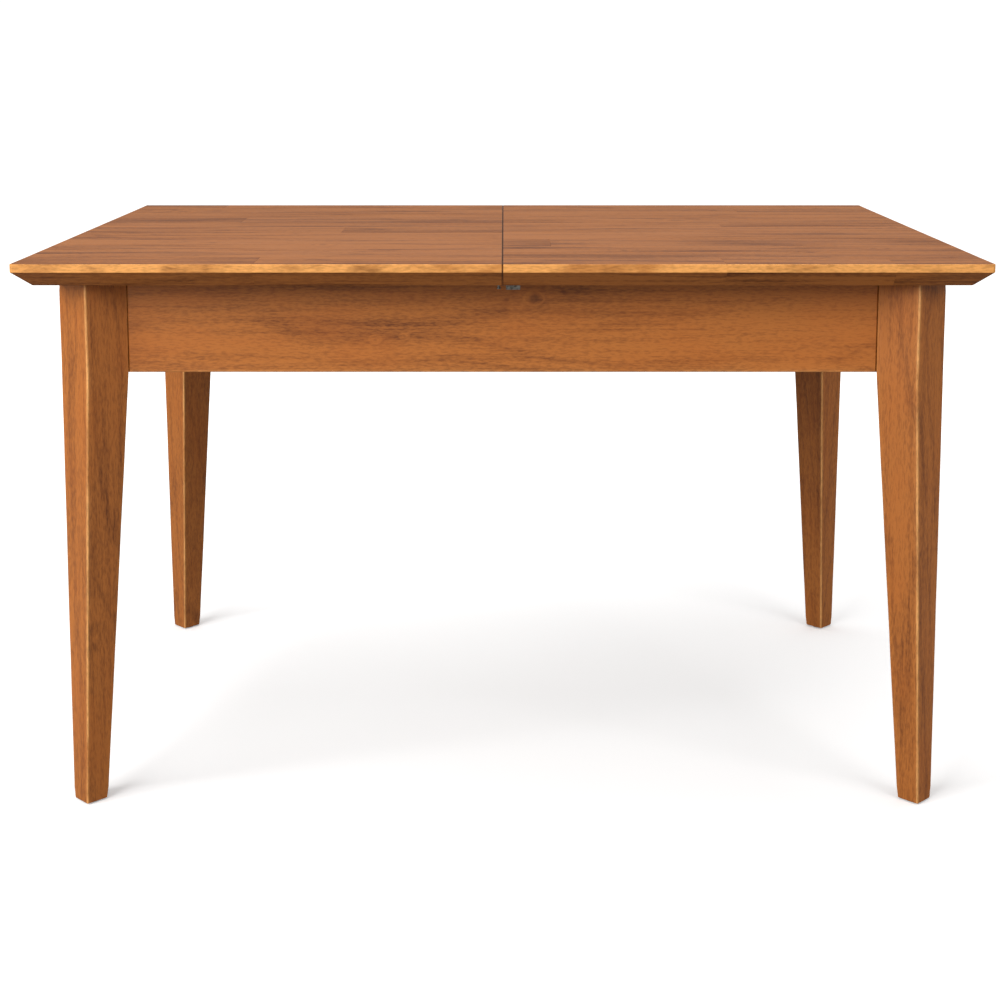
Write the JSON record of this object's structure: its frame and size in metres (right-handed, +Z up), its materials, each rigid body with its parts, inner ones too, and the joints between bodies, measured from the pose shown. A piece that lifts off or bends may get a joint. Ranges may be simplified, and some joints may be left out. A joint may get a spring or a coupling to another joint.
{
  "type": "extendable dining table",
  "caption": "Rectangular solid-wood dining table with tapered corner-set legs; its split top slides apart over a fixed frame that stores a folding leaf.",
  "frame": {"origin": "on the floor, under the middle of the closed table", "axes": "+X along the table's length, across the seam; +Y from the front apron to the back; +Z up"},
  "size_m": [1.3, 0.9, 0.77],
  "materials": {
    "top_wood": "satin lacquered knotty wood, warm light brown",
    "leaf_wood": "satin lacquered knotty wood, as the top",
    "leg_wood": "satin lacquered knotty wood with eased, rubbed arrises",
    "apron_wood": "satin lacquered knotty wood",
    "inner_wood": "planed, unstained wood",
    "dowel_wood": "turned, unstained wood",
    "catch_steel": "dull antique steel",
    "zinc_steel": "zinc-plated steel",
    "hinge_brass": "satin brass",
    "glide": "black nylon"
  },
  "bodies": {
    "frame": {"apron_back": "apron_wood", "apron_front": "apron_wood", "apron_left": "apron_wood", "apron_right": "apron_wood", "corner_brace_back_left": "inner_wood", "corner_brace_back_right": "inner_wood", "corner_brace_front_left": "inner_wood", "corner_brace_front_right": "inner_wood", "floor_glide_back_left": "glide", "floor_glide_back_right": "glide", "floor_glide_front_left": "glide", "floor_glide_front_right": "glide", "guide_rail_back": "inner_wood", "guide_rail_front": "inner_wood", "hanger_bolt_back_left_lower": "zinc_steel", "hanger_bolt_back_left_upper": "zinc_steel", "hanger_bolt_back_right_lower": "zinc_steel", "hanger_bolt_back_right_upper": "zinc_steel", "hanger_bolt_front_left_lower": "zinc_steel", "hanger_bolt_front_left_upper": "zinc_steel", "hanger_bolt_front_right_lower": "zinc_steel", "hanger_bolt_front_right_upper": "zinc_steel", "leaf_bearer_left": "inner_wood", "leaf_bearer_right": "inner_wood", "leaf_dowel_lower_far": "dowel_wood", "leaf_dowel_lower_near": "dowel_wood", "leaf_dowel_upper_far": "dowel_wood", "leaf_dowel_upper_near": "dowel_wood", "leaf_hinge_left": "hinge_brass", "leaf_hinge_right": "hinge_brass", "leaf_panel_lower": "leaf_wood", "leaf_panel_upper": "leaf_wood", "leg_back_left": "leg_wood", "leg_back_right": "leg_wood", "leg_front_left": "leg_wood", "leg_front_right": "leg_wood", "slide_stop_back_left": "dowel_wood", "slide_stop_back_right": "dowel_wood", "slide_stop_front_left": "dowel_wood", "slide_stop_front_right": "dowel_wood"},
    "left_half": {"top_batten_inner_left": "inner_wood", "top_batten_outer_left": "inner_wood", "top_half_left": "top_wood", "top_runner_back_left": "inner_wood", "top_runner_front_left": "inner_wood", "alignment_dowel_back": "dowel_wood", "alignment_dowel_front": "dowel_wood", "alignment_dowel_middle": "dowel_wood", "catch_keeper": "catch_steel"},
    "right_half": {"top_batten_inner_right": "inner_wood", "top_batten_outer_right": "inner_wood", "top_half_right": "top_wood", "top_runner_back_right": "inner_wood", "top_runner_front_right": "inner_wood", "catch_base": "catch_steel", "catch_rivet": "catch_steel"},
    "catch_lever": {"catch_hook_lever": "catch_steel"}
  },
  "joints": [
    {"name": "left_half_slide", "type": "slide", "parent": "frame", "child": "left_half", "axis": [-1, 0, 0], "range_m": [0, 0.2]},
    {"name": "right_half_slide", "type": "slide", "parent": "frame", "child": "right_half", "axis": [1, 0, 0], "range_m": [0, 0.2]},
    {"name": "catch_lever_swing", "type": "hinge", "parent": "right_half", "child": "catch_lever", "pos_m": [0.017, -0.394, 0.7347], "axis": [0, 0, -1], "range_deg": [-12, 70]}
  ]
}
